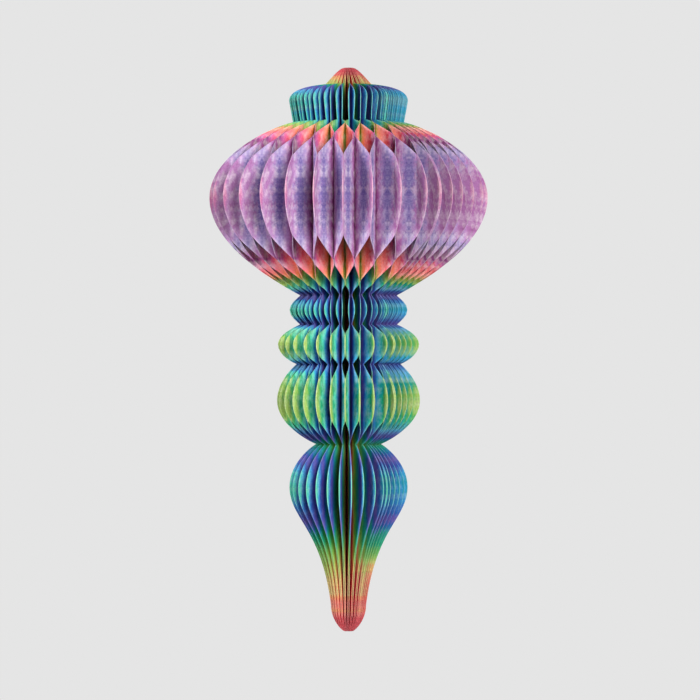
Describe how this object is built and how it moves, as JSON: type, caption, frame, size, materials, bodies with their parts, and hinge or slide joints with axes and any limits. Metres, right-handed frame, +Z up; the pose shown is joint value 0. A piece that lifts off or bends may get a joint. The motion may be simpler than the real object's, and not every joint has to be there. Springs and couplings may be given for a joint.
{
  "type": "paper finial decoration",
  "caption": "Hanging finial of die-cut paper leaves, glued at alternating strips and fanned round an axis into petal cells: dome, collar, wide lobe, ring, disc, bulb and drop.",
  "frame": {"origin": "the hang point: on the axis at the very top of the dome", "axes": "+Z up along the axis, with the tip at -Z; -Y is the front that the picture shows; +X is the viewer's right"},
  "size_m": [0.1506, 0.1502, 0.305],
  "materials": {
    "printed_paper": "matte, printed on both sides",
    "cover_card": "matte, printed, pale cut edge"
  },
  "bodies": {
    "root": {"leaf_01": "printed_paper", "leaf_02": "printed_paper", "leaf_03": "printed_paper", "leaf_04": "printed_paper", "leaf_05": "printed_paper", "leaf_06": "printed_paper", "leaf_07": "printed_paper", "leaf_08": "printed_paper", "leaf_09": "printed_paper", "leaf_10": "printed_paper", "leaf_11": "printed_paper", "leaf_12": "printed_paper", "leaf_13": "printed_paper", "leaf_14": "printed_paper", "leaf_15": "printed_paper", "leaf_16": "printed_paper", "leaf_17": "printed_paper", "leaf_18": "printed_paper", "leaf_19": "printed_paper", "leaf_20": "printed_paper", "leaf_21": "printed_paper", "leaf_22": "printed_paper", "leaf_23": "printed_paper", "leaf_24": "printed_paper", "leaf_25": "printed_paper", "leaf_26": "printed_paper", "leaf_27": "printed_paper", "leaf_28": "printed_paper", "leaf_29": "printed_paper", "leaf_30": "printed_paper", "leaf_31": "printed_paper", "leaf_32": "printed_paper", "leaf_33": "printed_paper", "leaf_34": "printed_paper", "leaf_35": "printed_paper", "leaf_36": "printed_paper", "leaf_37": "printed_paper", "leaf_38": "printed_paper", "leaf_39": "printed_paper", "leaf_40": "printed_paper", "leaf_41": "printed_paper", "leaf_42": "printed_paper", "leaf_43": "printed_paper", "leaf_44": "printed_paper", "leaf_45": "printed_paper", "leaf_46": "printed_paper", "leaf_47": "printed_paper", "leaf_48": "printed_paper", "leaf_49": "printed_paper", "leaf_50": "printed_paper", "leaf_51": "printed_paper", "leaf_52": "printed_paper", "leaf_53": "printed_paper", "leaf_54": "printed_paper", "leaf_55": "printed_paper", "leaf_56": "printed_paper", "leaf_57": "printed_paper", "leaf_58": "printed_paper", "first_cover": "cover_card", "last_cover": "cover_card"}
  },
  "joints": []
}
